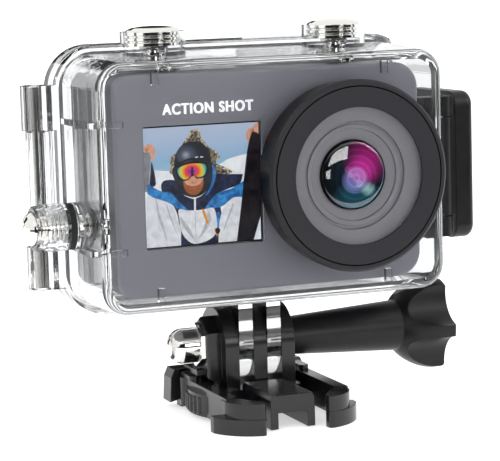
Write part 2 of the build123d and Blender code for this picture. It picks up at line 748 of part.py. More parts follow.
buttons = (
    ("power", button_frame(-BUTTON_X), top_cap, 3.75, 1.55),
    ("shutter", button_frame(BUTTON_X), top_cap, 3.75, 1.55),
    ("side", SIDE_FRAME, side_cap, 7.65, 2.45),
)
for use, frame, cap, spring_start, spring_length in buttons:
    button = turned(frame, stem_points(cap))
    save(button, f"{use}_button")
    clip = turned(frame, [(1.12, 0.38), (2.3, 0.38), (2.3, 0.77), (1.12, 0.77)])
    save(clip, f"{use}_button_clip")
    oring = turned(frame, [(1.07, 1.93), (1.55, 1.93), (1.55, 2.67), (1.07, 2.67)])
    save(oring, f"{use}_button_oring")
    spring = coil_spring(frame, spring_start, spring_length, 2.6, 0.4, 3)
    save(spring, f"{use}_button_spring")
    key = turned(frame, [(0, 0), (KEY_R, 0), (KEY_R, -2.0), (3.5, -2.0), (3.5, -2.8), (0, -2.8)])
    save(key, f"{use}_key")

side_button_bushing = turned(
    SIDE_FRAME,
    [
        (STEM_R + STEM_GAP, 5.0),
        (3.3, 5.0),
        (3.3, 6.9),
        (BOSS_R, 6.9),
        (BOSS_R, 11.2),
        (4.5, 13.1),
        (4.2, 13.6),
        (3.65, 13.6),
        (3.65, 11.5),
        (3.3, 11.3),
        (3.3, 7.4),
        (STEM_R + STEM_GAP, 7.4),
    ],
)
save(side_button_bushing, "side_button_bushing")
bushing_seal = turned(SIDE_FRAME, [(BUSHING_BORE_R, 5.7), (4.6, 5.7), (4.6, 6.9), (BUSHING_BORE_R, 6.9)])
save(bushing_seal, "side_bushing_seal")

# --- camera --------------------------------------------------------------------------------

FRAME_BACK = CAM_BACK - REAR_THICK
FRAME_FRONT = CAM_FRONT + PANEL_THICK
POST_X = 28.8
POST_Z = 18.4


def camera_outline(inset=0.0):
    """The camera's front outline: tighter corners on the screen side, rounder by the lens."""
    Rectangle(CAM_W - 2 * inset, CAM_H - 2 * inset)
    corners = vertices().sort_by(Axis.X)
    fillet(corners[0:2], 3.0 - inset * 0.8)
    fillet(vertices().sort_by(Axis.X)[-2:], 5.0 - inset * 0.8)


with BuildPart() as camera_front_panel:
    with BuildSketch(facing_front(FRAME_FRONT)):
        camera_outline()
    extrude(amount=PANEL_THICK)
    fillet(faces().sort_by(Axis.Y)[0].edges(), 0.6)
    with BuildSketch(facing_front(FRAME_FRONT, SCREEN_X, SCREEN_Z)):
        RectangleRounded(SCREEN_W + 0.1, SCREEN_H + 0.1, 0.5)
    extrude(amount=PANEL_THICK, mode=Mode.SUBTRACT)
    with BuildSketch(facing_front(FRAME_FRONT, LENS_X, LENS_Z)):
        Circle(14.0)
    extrude(amount=PANEL_THICK, mode=Mode.SUBTRACT)
save(camera_front_panel, "camera_front_panel")

with BuildPart() as camera_body:
    with BuildSketch(facing_front(FRAME_BACK)):
        camera_outline()
    extrude(amount=FRAME_BACK - FRAME_FRONT)
    with BuildSketch(facing_front(FRAME_BACK)):
        camera_outline(CAM_WALL)
    extrude(amount=FRAME_BACK - FRAME_FRONT, mode=Mode.SUBTRACT)
    # screw posts in the corners
    for x in (-POST_X, POST_X):
        for z in (-POST_Z, POST_Z):
            with BuildSketch(facing_front(FRAME_BACK, x, CAM_Z + z)):
                Circle(2.1)
            extrude(amount=9)
            with BuildSketch(facing_front(FRAME_BACK, x, CAM_Z + z)):
                Circle(0.8)
            extrude(amount=7, mode=Mode.SUBTRACT)
    # key openings, battery opening and connector opening
    for x in (-BUTTON_X, BUTTON_X):
        with Locations((x, BUTTON_Y, CAM_Z + CAM_H / 2)):
            Cylinder(KEY_R + 0.2, 4, mode=Mode.SUBTRACT)
    with Locations(Location((-CAM_W / 2, SIDE_BUTTON_Y, SIDE_BUTTON_Z), (0, 90, 0))):
        Cylinder(KEY_R + 0.2, 4, mode=Mode.SUBTRACT)
    with Locations((BATTERY_X, BATTERY_DOOR_Y, CAM_Z - CAM_H / 2)):
        Box(32.2, 11.2, 4, mode=Mode.SUBTRACT)
    with Locations((CAM_W / 2, CONNECTOR_Y, CONNECTOR_Z)):
        Box(4, 9.2, 22.2, mode=Mode.SUBTRACT)
save(camera_body, "camera_body")

with BuildPart() as battery_door:
    with Locations((BATTERY_X, BATTERY_DOOR_Y, CAM_Z - CAM_H / 2 + CAM_WALL / 2)):
        Box(32.0, 11.0, CAM_WALL)
save(battery_door, "battery_door")

with BuildPart() as connector_cover:
    with Locations((CAM_W / 2 - CAM_WALL / 2, CONNECTOR_Y, CONNECTOR_Z)):
        Box(CAM_WALL, 9.0, 22.0)
save(connector_cover, "connector_cover")

with BuildPart() as camera_rear_cover:
    with BuildSketch(facing_front(CAM_BACK)):
        camera_outline()
    extrude(amount=REAR_THICK)
    fillet(faces().sort_by(Axis.Y)[-1].edges(), 0.8)
    with BuildSketch(facing_front(CAM_BACK)):
        RectangleRounded(REAR_SCREEN_W + 0.1, REAR_SCREEN_H + 0.1, 1)
    extrude(amount=REAR_THICK, mode=Mode.SUBTRACT)
    for x in (-POST_X, POST_X):
        for z in (-POST_Z, POST_Z):
            with Locations(Location((x, CAM_BACK - 1.4, CAM_Z + z), (90, 0, 0))):
                Cylinder(0.9, 4, mode=Mode.SUBTRACT)
            with Locations(Location((x, CAM_BACK - 0.4, CAM_Z + z), (90, 0, 0))):
                Cylinder(1.6, 1.6, mode=Mode.SUBTRACT)
save(camera_rear_cover, "camera_rear_cover")

with BuildPart() as camera_screws:
    for x in (-POST_X, POST_X):
        for z in (-POST_Z, POST_Z):
            with BuildSketch(facing_front(CAM_BACK - 0.3, x, CAM_Z + z)):
                Circle(1.45)
            extrude(amount=0.85)
            with BuildSketch(facing_front(CAM_BACK - 1.1, x, CAM_Z + z)):
                Circle(0.78)
            extrude(amount=8.0)
save(camera_screws, "camera_screws")


def slab(label, x, y_front, y_back, z, width, height, radius):
    """Flat rounded piece lying across the camera between two depths."""
    with BuildPart() as piece:
        with BuildSketch(facing_front(y_back, x, z)):
            RectangleRounded(width, height, radius)
        extrude(amount=y_back - y_front)
    save(piece, label)


slab("front_screen_glass", SCREEN_X, CAM_FRONT, CAM_FRONT + 0.8, SCREEN_Z, SCREEN_W, SCREEN_H, 0.45)
slab("front_display", SCREEN_X, CAM_FRONT + 0.85, FRAME_FRONT, SCREEN_Z, SCREEN_W - 0.6, SCREEN_H - 0.6, 0.4)
slab("rear_screen_glass", 0, CAM_BACK - 0.9, CAM_BACK - 0.1, CAM_Z, REAR_SCREEN_W, REAR_SCREEN_H, 0.9)
slab("rear_display", 0, CAM_BACK - 2.6, CAM_BACK - 1.0, CAM_Z, REAR_SCREEN_W - 2, REAR_SCREEN_H - 2, 0.6)
slab("battery", BATTERY_X, -12.2, -1.8, CAM_Z - 1.5, 30, 29, 2)
slab("main_board", 0, 1.0, 2.2, CAM_Z, 54, 36, 2)
slab("card_slot", CARD_X, 2.3, 4.2, CAM_Z - 10, 14, 14.5, 0.5)
slab("sensor_board", LENS_X, -4.6, -3.4, LENS_Z, 20, 18, 1)
slab("image_sensor", LENS_X, -5.8, -4.65, LENS_Z, 8.4, 6.6, 0.3)

with BuildPart() as memory_card:
    with Locations((CARD_X, 4.65, CAM_Z - 12.0)):
        Box(11, 0.8, 15)
save(memory_card, "memory_card")

with BuildPart() as speaker:
    with BuildSketch(facing_front(-1.5, 22.0, CAM_Z - 13.6)):
        Circle(4.5)
    extrude(amount=3.2)
save(speaker, "speaker")

with BuildPart() as microphone:
    with BuildSketch(facing_front(-8.5, 4.5, CAM_Z + 17.5)):
        Circle(2.0)
    extrude(amount=1.5)
save(microphone, "microphone")

# lens: bezel with stepped rings, front element, barrel, rear group
with BuildPart() as lens_bezel:
    outline = lens_profile(
        (8.6, CAM_FRONT + 0.4),
        (13.9, CAM_FRONT + 0.4),
        (13.9, -22.6),
        (14.2, -23.0),
        (14.2, -24.3),
        (14.0, -24.5),
        (10.75, -23.5),
        (10.7, -22.9),
        (10.05, -22.9),
        (10.0, -23.3),
        (9.15, -23.05),
        (9.1, -22.6),
        (8.8, -22.6),
        (6.95, -22.2),
        (6.95, -21.7),
        (8.6, -21.7),
    )
    revolve(outline, LENS_AXIS)
save(lens_bezel, "lens_bezel")

with BuildPart() as front_lens:
    with BuildSketch(Plane(origin=(LENS_X, 0, LENS_Z), x_dir=(1, 0, 0), z_dir=(0, 0, 1))):
        with BuildLine():
            back = Line((0, -20.6), (6.85, -20.6))
            edge = Line(back @ 1, (6.85, -22.1))
            dome = ThreePointArc(edge @ 1, cap_middle((6.85, -22.1), (0, -23.45)), (0, -23.45))
            Line(dome @ 1, back @ 0)
        make_face()
    revolve(axis=LENS_AXIS)
save(front_lens, "front_lens")

with BuildPart() as lens_barrel:
    outline = lens_profile(
        (5.9, -6.2),
        (8.5, -6.2),
        (8.5, -21.6),
        (6.9, -21.6),
        (6.9, -20.5),
        (5.9, -20.5),
    )
    revolve(outline, LENS_AXIS)
save(lens_barrel, "lens_barrel")

with BuildPart() as rear_lens_group:
    for start, thickness in ((-18.5, 2.0), (-14.5, 1.4), (-10.5, 2.2)):
        with BuildSketch(facing_front(start + thickness, LENS_X, LENS_Z)):
            Circle(5.85)
        extrude(amount=thickness)
save(rear_lens_group, "rear_lens_group")
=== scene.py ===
"""Looks of a dual-screen action camera in its clear waterproof housing, on a quick-release buckle.

Frame: +X towards the thumb screw's knob, +Y to the back, +Z up, metres.
"""

import math

import bmesh
import bpy
from mathutils import Matrix, Vector


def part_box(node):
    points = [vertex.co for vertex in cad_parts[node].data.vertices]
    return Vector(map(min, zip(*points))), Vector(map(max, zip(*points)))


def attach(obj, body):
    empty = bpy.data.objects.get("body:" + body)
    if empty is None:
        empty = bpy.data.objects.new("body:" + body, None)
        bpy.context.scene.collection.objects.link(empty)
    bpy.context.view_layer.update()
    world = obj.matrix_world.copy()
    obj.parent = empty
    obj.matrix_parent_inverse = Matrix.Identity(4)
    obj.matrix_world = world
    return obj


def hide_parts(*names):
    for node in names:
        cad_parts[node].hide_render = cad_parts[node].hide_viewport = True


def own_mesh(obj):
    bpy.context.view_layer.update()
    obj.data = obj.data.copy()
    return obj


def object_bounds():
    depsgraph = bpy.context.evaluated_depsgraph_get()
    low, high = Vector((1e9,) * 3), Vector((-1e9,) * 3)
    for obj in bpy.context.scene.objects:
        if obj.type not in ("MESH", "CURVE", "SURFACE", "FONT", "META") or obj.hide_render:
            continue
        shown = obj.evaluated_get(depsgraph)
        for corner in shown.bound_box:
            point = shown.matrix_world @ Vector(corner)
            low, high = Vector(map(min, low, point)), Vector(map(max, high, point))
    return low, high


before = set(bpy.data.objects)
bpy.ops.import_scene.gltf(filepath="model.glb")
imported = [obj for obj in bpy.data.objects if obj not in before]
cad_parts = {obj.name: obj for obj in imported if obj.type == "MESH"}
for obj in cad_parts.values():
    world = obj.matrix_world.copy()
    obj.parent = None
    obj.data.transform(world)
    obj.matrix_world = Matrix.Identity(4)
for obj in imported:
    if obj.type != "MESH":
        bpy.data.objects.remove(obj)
cad_low, cad_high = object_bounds()

MM = 0.001
scene = bpy.context.scene
scene.view_settings.view_transform = "Standard"
# light crosses many walls of clear plastic before it leaves the housing
scene.cycles.max_bounces = 24
scene.cycles.glossy_bounces = 12
scene.cycles.transmission_bounces = 24


# --- camera --------------------------------------------------------------------------------

def aim_camera():
    """Long lens from the front left, a little above the lens, with a slight roll."""
    azimuth = math.radians(-21.16)
    elevation = math.radians(7.43)
    roll = math.radians(-1.691)
    target = Vector((-4.835, -16.0, 38.87)) * MM
    distance = 404.45 * MM
    right = Vector((math.cos(azimuth), math.sin(azimuth), 0))
    back = Vector((
        math.sin(azimuth) * math.cos(elevation),
        -math.cos(azimuth) * math.cos(elevation),
        math.sin(elevation),
    ))
    up = back.cross(right)
    rolled_right = right * math.cos(roll) + up * math.sin(roll)
    rolled_up = back.cross(rolled_right)
    data = bpy.data.cameras.new("camera")
    data.sensor_width = 36
    data.lens = 147.6
    data.clip_start = 0.01
    data.clip_end = 20
    camera = bpy.data.objects.new("camera", data)
    turn = Matrix((rolled_right, rolled_up, back)).transposed().to_4x4()
    camera.matrix_world = Matrix.Translation(target + back * distance) @ turn
    scene.collection.objects.link(camera)
    scene.camera = camera


aim_camera()


# --- material tools ------------------------------------------------------------------------

def linear(hex_colour):
    """An sRGB hex colour as linear RGBA."""
    channels = [int(hex_colour[i:i + 2], 16) / 255 for i in (1, 3, 5)]
    return [c / 12.92 if c <= 0.04045 else ((c + 0.055) / 1.055) ** 2.4 for c in channels] + [1.0]


def add(tree, kind, inputs=None, **settings):
    """Adds a node with its settings; inputs go by socket, as values or as other nodes' outputs."""
    node = tree.nodes.new(kind)
    for name, value in settings.items():
        setattr(node, name, value)
    for name, value in (inputs or {}).items():
        if isinstance(value, bpy.types.NodeSocket):
            tree.links.new(value, node.inputs[name])
        else:
            node.inputs[name].default_value = value
    return node


def new_material(name, **sockets):
    """A material with one Principled shader, its constant sockets set by name."""
    material = bpy.data.materials.new(name)
    material.use_nodes = True
    shader = material.node_tree.nodes["Principled BSDF"]
    for socket, value in sockets.items():
        shader.inputs[socket.replace("_", " ")].default_value = value
    return material, material.node_tree, shader


def per_mm(size_mm):
    """Texture scale that repeats a pattern about every size_mm."""
    return 1 / (size_mm * MM)


def paint_stops(ramp, stops):
    """Gives a colour ramp its (position, hex) stops, positions first because they sort the elements."""
    while len(ramp.elements) < len(stops):
        ramp.elements.new(0.5)
    for element, (position, _) in zip(ramp.elements, stops):
        element.position = position
    for element, (_, colour) in zip(ramp.elements, stops):
        element.color = linear(colour)


def grain(tree, size_mm, detail=2.0):
    """Noise through the solid, with lumps of the given size."""
    place = add(tree, "ShaderNodeTexCoord").outputs["Object"]
    inputs = {"Vector": place, "Scale": per_mm(size_mm), "Detail": detail}
    return add(tree, "ShaderNodeTexNoise", inputs).outputs["Fac"]


def mottle(tree, shader, size_mm, dark, light):
    """Colour that drifts between two shades."""
    ramp = add(tree, "ShaderNodeValToRGB", {"Fac": grain(tree, size_mm, 3.0)})
    paint_stops(ramp.color_ramp, [(0.35, dark), (0.65, light)])
    tree.links.new(ramp.outputs["Color"], shader.inputs["Base Color"])


def glow(tree, centre, radii, stops):
    """Colour stops that run from an ellipsoid's surface, 0, to its middle, 1."""
    place = add(tree, "ShaderNodeTexCoord").outputs["Object"]
    shape = {"Vector": place, "Location": centre, "Scale": radii}
    local = add(tree, "ShaderNodeMapping", shape, vector_type="TEXTURE").outputs["Vector"]
    ball = add(tree, "ShaderNodeTexGradient", {"Vector": local}, gradient_type="SPHERICAL")
    ramp = add(tree, "ShaderNodeValToRGB", {"Fac": ball.outputs["Fac"]})
    paint_stops(ramp.color_ramp, stops)
    return ramp.outputs["Color"]


BEVEL_SAMPLES = 4
# polish and handling vary in patches this many times wider than the grain
PATCH_WIDTH = 40


def rough_skin(tree, shader, size_mm, height_mm, edge_mm=0.0, low=None, high=None):
    """Fine bumps, edges softened by edge_mm, and roughness between low and high."""
    inputs = {"Height": grain(tree, size_mm), "Strength": 1.0, "Distance": height_mm * MM}
    if edge_mm:
        soft = add(tree, "ShaderNodeBevel", {"Radius": edge_mm * MM}, samples=BEVEL_SAMPLES)
        inputs["Normal"] = soft.outputs["Normal"]
    bump = add(tree, "ShaderNodeBump", inputs)
    tree.links.new(bump.outputs["Normal"], shader.inputs["Normal"])
    if low is not None:
        patches = {"Value": grain(tree, size_mm * PATCH_WIDTH), "To Min": low, "To Max": high}
        wear = add(tree, "ShaderNodeMapRange", patches)
        tree.links.new(wear.outputs["Result"], shader.inputs["Roughness"])


# --- materials -----------------------------------------------------------------------------

def clear_polycarbonate():
    """Injection-moulded polycarbonate: water clear, bright polished edges, faint flow waviness."""
    material, tree, shader = new_material(
        "moulded_polycarbonate",
        Base_Color=linear("#FBFCFD"),
        Roughness=0.015,
        IOR=1.585,
        Transmission_Weight=1.0,
    )
    rough_skin(tree, shader, 6.0, 0.004)
    return material


def clear_silicone():
    """Cast silicone gasket: milky, soft and slightly see-through."""
    material, tree, shader = new_material(
        "cast_silicone", Base_Color=linear("#F1F3F4"), IOR=1.41, Transmission_Weight=0.6
    )
    rough_skin(tree, shader, 0.4, 0.01, 0.0, 0.35, 0.5)
    return material


def grey_lacquer(name, dark, light):
    """Soft-touch lacquer on ABS: even satin grey with a very fine fleck."""
    # the pigment's fleck is about 0.05 mm; drawn at 0.25 mm so that it shows
    material, tree, shader = new_material(name, IOR=1.5)
    mottle(tree, shader, 0.25, dark, light)
    rough_skin(tree, shader, 0.12, 0.004, 0.15, 0.42, 0.5)
    return material


def moulded_black(name, dark, light, low, high, edge_mm=0.25, gleam=0.5):
    """Injection-moulded black plastic: spark-eroded grain, edges that catch a line of light."""
    # the mould's grain is about 0.05 mm; drawn at 0.15 mm so that it shows
    material, tree, shader = new_material(name, IOR=1.49, Specular_IOR_Level=gleam)
    mottle(tree, shader, 3.0, dark, light)
    rough_skin(tree, shader, 0.15, 0.006, edge_mm, low, high)
    return material


def anodised_ring():
    """Black anodised aluminium: faces turned to the front or back get a lighter grey as painted light,
    the sides stay black.
    """
    material, tree, shader = new_material("anodised_black_ring", IOR=1.5, Specular_IOR_Level=0.3)
    normal = add(tree, "ShaderNodeNewGeometry").outputs["Normal"]
    facing = add(tree, "ShaderNodeSeparateXYZ", {"Vector": normal})
    toward = add(tree, "ShaderNodeMath", {0: facing.outputs["Y"]}, operation="ABSOLUTE")
    # painted light: a lighter grey on faces turned to the front or back, by their direction in the
    # world
    ramp = add(tree, "ShaderNodeValToRGB", {"Fac": toward.outputs[0]})
    paint_stops(ramp.color_ramp, [(0.5, "#08080A"), (0.9, "#222126")])
    cloudy = {"Color": ramp.outputs["Color"], "Value": 0.9, "Fac": grain(tree, 3.0)}
    uneven = add(tree, "ShaderNodeHueSaturation", cloudy)
    tree.links.new(uneven.outputs["Color"], shader.inputs["Base Color"])
    # blasting leaves pits of about 0.05 mm; drawn at 0.15 mm so that they show
    rough_skin(tree, shader, 0.15, 0.005, 0.1, 0.42, 0.5)
    return material


def chrome_plating():
    """Nickel-chrome plating on turned brass: mirror bright, a touch warm, faint buffing swirls."""
    material, tree, shader = new_material("chrome_plating", Base_Color=linear("#F1EFEA"), Metallic=1.0)
    rough_skin(tree, shader, 1.2, 0.0015, 0.1, 0.04, 0.1)
    return material


def turned_steel():
    """Turned stainless steel: fine tool marks spread the highlight."""
    material, tree, shader = new_material("turned_steel", Base_Color=linear("#C9C8C5"), Metallic=1.0)
    rough_skin(tree, shader, 0.1, 0.003, 0.05, 0.2, 0.3)
    return material


def nitrile_rubber():
    """Moulded nitrile rubber: deep matte black with a dusty grain."""
    material, tree, shader = new_material("nitrile_rubber", IOR=1.5)
    mottle(tree, shader, 0.8, "#111112", "#1C1C1D")
    rough_skin(tree, shader, 0.1, 0.01, 0.1, 0.6, 0.75)
    return material


def optical_glass(name):
    """Ground and coated glass: clear, flat and hard, with hardly any ripple."""
    material, tree, shader = new_material(
        name, Base_Color=linear("#FFFFFF"), Roughness=0.0, IOR=1.45, Transmission_Weight=1.0
    )
    rough_skin(tree, shader, 8.0, 0.0004)
    return material


def circuit_board():
    """Solder mask over copper: glossy dark green with lighter tracks."""
    material, tree, shader = new_material("solder_mask", IOR=1.5)
    place = add(tree, "ShaderNodeTexCoord").outputs["Object"]
    inputs = {"Vector": place, "Scale": per_mm(0.9)}
    tracks = add(tree, "ShaderNodeTexVoronoi", inputs, distance="MANHATTAN")
    ramp = add(tree, "ShaderNodeValToRGB", {"Fac": tracks.outputs["Distance"]})
    paint_stops(ramp.color_ramp, [(0, "#1E6B3C"), (1, "#0C3A22")])
    tree.links.new(ramp.outputs["Color"], shader.inputs["Base Color"])
    rough_skin(tree, shader, 0.5, 0.01, 0.0, 0.25, 0.35)
    return material


POLYCARBONATE = clear_polycarbonate()
SILICONE = clear_silicone()
GREY_PANEL = grey_lacquer("grey_lacquer_on_abs", "#8D8C95", "#93929B")
GREY_BEZEL = grey_lacquer("grey_lacquer_bezel", "#86858B", "#8B8A90")
DARK_ABS = moulded_black("moulded_dark_abs", "#5C5C62", "#646469", 0.3, 0.4)
SATIN_BLACK = moulded_black("satin_black_nylon", "#101012", "#151517", 0.3, 0.4, 0.25, 0.3)
GLOSS_BLACK = moulded_black("gloss_black_acetal", "#101012", "#171719", 0.14, 0.22)
RING_BLACK = anodised_ring()
PORT_BLACK = moulded_black("port_black_abs", "#050506", "#08080A", 0.35, 0.45, 0.15, 0.2)
CHROME = chrome_plating()
STEEL = turned_steel()
RUBBER = nitrile_rubber()
WINDOW_GLASS = optical_glass("port_window_glass")
COVER_GLASS = optical_glass("screen_cover_glass")
BOARD = circuit_board()

NODE_FINISH = {
    POLYCARBONATE: ["housing_front_shell", "housing_back_door", "side_button_bushing"],
    SILICONE: ["door_seal"],
    GREY_PANEL: ["camera_front_panel"],
    GREY_BEZEL: ["lens_bezel"],
    DARK_ABS: [
        "camera_body", "camera_rear_cover", "battery_door", "power_key", "shutter_key", "side_key",
    ],
    SATIN_BLACK: [
        "thumb_screw_handle", "latch_bracket", "latch_lever", "lens_barrel", "speaker", "battery",
        "memory_card",
    ],
    GLOSS_BLACK: ["buckle_body", "buckle_arm_left", "buckle_arm_right", "rear_display", "image_sensor"],
    RING_BLACK: ["lens_port_ring"],
    PORT_BLACK: ["lens_port_body"],
    CHROME: ["acorn_nut", "power_button", "shutter_button", "side_button"],
    STEEL: ["thumb_screw_bolt", "hinge_pin", "latch_pin", "camera_screws", "card_slot", "microphone"],
    RUBBER: ["lens_port_seal", "side_bushing_seal", "connector_cover"],
    WINDOW_GLASS: ["lens_port_window", "rear_lens_group"],
    COVER_GLASS: ["front_screen_glass", "rear_screen_glass"],
    BOARD: ["main_board", "sensor_board"],
}
for use in ("power", "shutter", "side"):
    NODE_FINISH[STEEL] += [f"{use}_button_clip", f"{use}_button_spring"]
    NODE_FINISH[RUBBER].append(f"{use}_button_oring")

for finish, names in NODE_FINISH.items():
    for name in names:
        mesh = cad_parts[name].data
        mesh.materials.clear()
        mesh.materials.append(finish)


# --- mesh tools ----------------------------------------------------------------------------

def new_piece(name, mesh, body, slot, *nodes):
    """Links a mesh as a piece that rides on a body and may stand for CAD nodes."""
    piece = bpy.data.objects.new(name, mesh)
    scene.collection.objects.link(piece)
    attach(piece, body)
    if nodes:
        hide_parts(*nodes)
    return piece


CURVE_STEPS = 6


def rounded(points):
    """Closed smooth line through the points; a point given twice stays a corner."""
    line = []
    count = len(points)
    for i in range(count):
        before, start, end, after = (Vector(points[(i + k) % count]) for k in (-1, 0, 1, 2))
        if start == end:
            line.append(start)
            continue
        for step in range(CURVE_STEPS):
            t = step / CURVE_STEPS
            line.append(0.5 * (
                2 * start
                + (end - before) * t
                + (2 * before - 5 * start + 4 * end - after) * t ** 2
                + (3 * start - before - 3 * end + after) * t ** 3
            ))
    return line


# --- picture on the front screen -----------------------------------------------------------

def dark_cell(name, strength):
    """A patch of the LCD: black until it is lit, under a satin polariser."""
    return new_material(name, Base_Color=linear("#050506"), Roughness=0.3, Emission_Strength=strength)


def lit(name, low, high, size_mm, spread=0.14):
    """Light from one part of the LCD's picture, drifting between two colours."""
    material, tree, shader = dark_cell(name, 0.98)
    ramp = add(tree, "ShaderNodeValToRGB", {"Fac": grain(tree, size_mm, 4.0)})
    paint_stops(ramp.color_ramp, [(0.5 - spread, low), (0.5 + spread, high)])
    tree.links.new(ramp.outputs["Color"], shader.inputs["Emission Color"])
    return material


def lit_upward(name, bottom, top, stops):
    """Light from the LCD's picture that runs through colour stops from bottom to top."""
    material, tree, shader = dark_cell(name, 0.95)
    place = add(tree, "ShaderNodeTexCoord").outputs["Object"]
    split = add(tree, "ShaderNodeSeparateXYZ", {"Vector": place})
    span = {"Value": split.outputs["Z"], "From Min": bottom, "From Max": top}
    height = add(tree, "ShaderNodeMapRange", span)
    ramp = add(tree, "ShaderNodeValToRGB", {"Fac": height.outputs["Result"]})
    paint_stops(ramp.color_ramp, stops)
    tree.links.new(ramp.outputs["Color"], shader.inputs["Emission Color"])
    return material


def lit_rings(name, centre, radii, stops):
    """Light from the LCD's picture in colour bands that run out from a point."""
    material, tree, shader = dark_cell(name, 0.95)
    tree.links.new(glow(tree, centre, radii, stops), shader.inputs["Emission Color"])
    return material


screen_low, screen_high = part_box("front_display")
SCREEN_SIZE = screen_high - screen_low
PICTURE_DEPTH = 0.3 * MM
BACKING_DEPTH = 0.32 * MM
LAYER_STEP = 0.006 * MM
ELLIPSE_STEPS = 28
HORIZON = 0.62


def on_screen(across, up, layer=0):
    """Point of the picture, in percent across and up, on one of its layers."""
    return Vector((
        screen_low.x + SCREEN_SIZE.x * across / 100,
        screen_low.y + PICTURE_DEPTH - LAYER_STEP * layer,
        screen_low.z + SCREEN_SIZE.z * up / 100,
    ))


def ellipse(x, y, wide, high, start=0, end=360):
    """Points of an ellipse, or of a stretch of one, in percent of the picture."""
    turns = [math.radians(start + (end - start) * k / ELLIPSE_STEPS) for k in range(ELLIPSE_STEPS)]
    return [(x + wide * math.cos(t), y + high * math.sin(t)) for t in turns]


